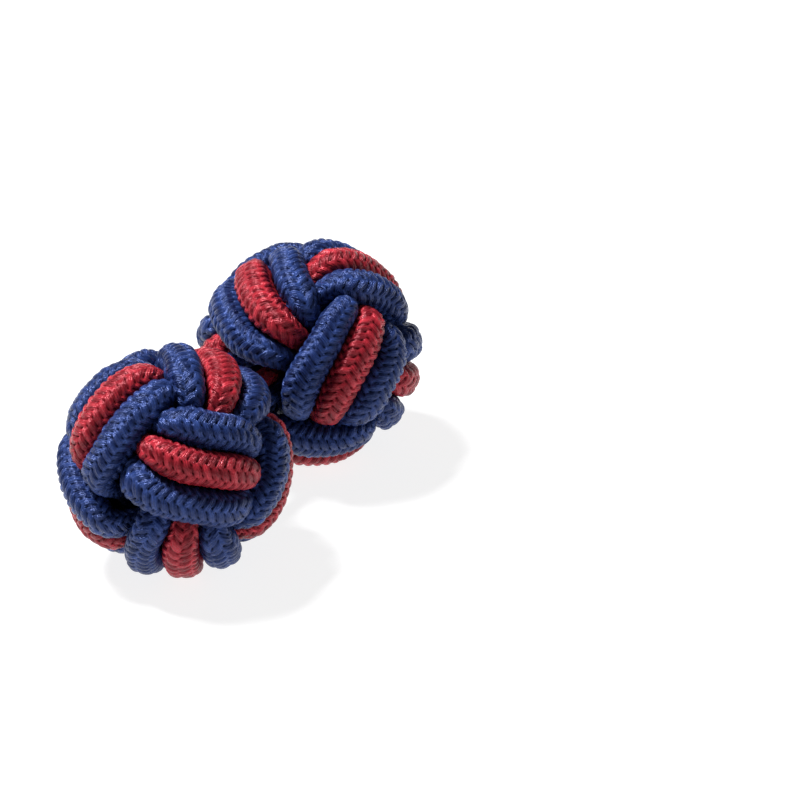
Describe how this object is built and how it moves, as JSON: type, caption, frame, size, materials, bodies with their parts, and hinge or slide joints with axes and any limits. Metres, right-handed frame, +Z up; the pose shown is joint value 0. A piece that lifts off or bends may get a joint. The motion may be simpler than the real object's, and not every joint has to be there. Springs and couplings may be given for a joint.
{
  "type": "silk knot cuff button",
  "caption": "Cuff button of braided cord: two ball knots of parallel navy and red cords, joined by a short neck that holds a shirt cuff closed.",
  "frame": {"origin": "on the surface that the button rests on, under the middle of its neck", "axes": "+X along the neck from the front ball to the rear ball, +Z up"},
  "size_m": [0.023, 0.0116, 0.0114],
  "materials": {
    "navy_cord": "braided cord with a silky sheen",
    "red_cord": "braided cord with a silky sheen"
  },
  "bodies": {
    "root": {"front_knot_navy_outer": "navy_cord", "front_knot_red_middle": "red_cord", "front_knot_navy_inner": "navy_cord", "rear_knot_navy_outer": "navy_cord", "rear_knot_red_middle": "red_cord", "rear_knot_navy_inner": "navy_cord", "neck_red": "red_cord", "neck_navy_front": "navy_cord", "neck_navy_rear": "navy_cord"}
  },
  "joints": []
}
